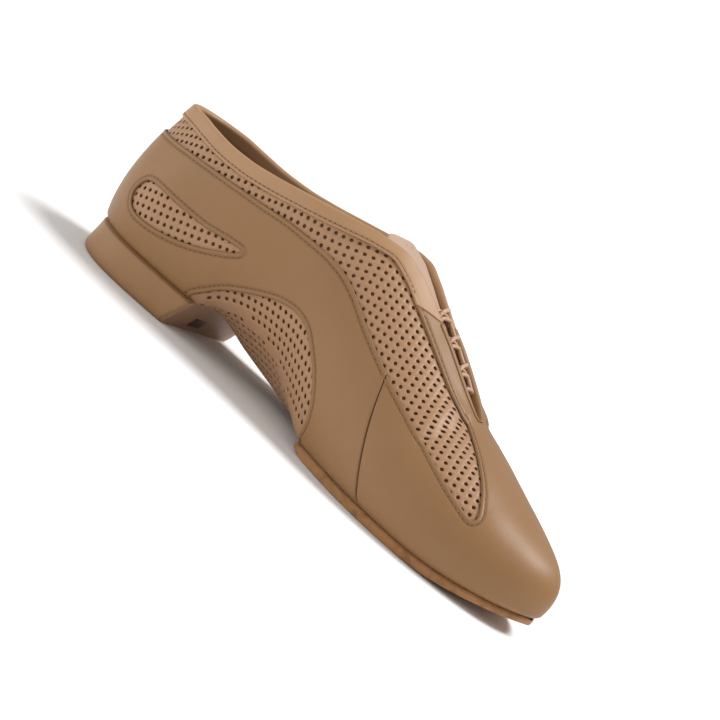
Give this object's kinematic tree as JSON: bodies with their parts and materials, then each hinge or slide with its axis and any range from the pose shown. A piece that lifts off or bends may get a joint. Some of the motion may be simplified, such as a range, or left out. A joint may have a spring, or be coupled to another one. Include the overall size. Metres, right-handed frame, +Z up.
{
  "type": "jazz shoe",
  "caption": "Left lace-up jazz shoe in tan leather with perforated panels, low heel block and split forepart sole, standing empty.",
  "frame": {"origin": "middle of the shoe's box on the floor that heel and forepart sole stand on", "axes": "+X from heel to toe, +Y to the lateral (outer) side, +Z up"},
  "size_m": [0.2426, 0.0822, 0.0814],
  "materials": {
    "perforated_leather": "punched full-grain",
    "smooth_leather": "smooth satin",
    "tongue_leather": "smooth matt",
    "sock_cloth": "matt",
    "heel_cover": "smooth satin",
    "sole_suede": "napped",
    "lace_cord": "braided"
  },
  "bodies": {
    "root": {"upper": "perforated_leather", "quarter": "smooth_leather", "vamp": "smooth_leather", "collar": "smooth_leather", "tongue": "tongue_leather", "insole": "sock_cloth", "heel": "heel_cover", "outsole": "sole_suede", "lace": "lace_cord"}
  },
  "joints": []
}
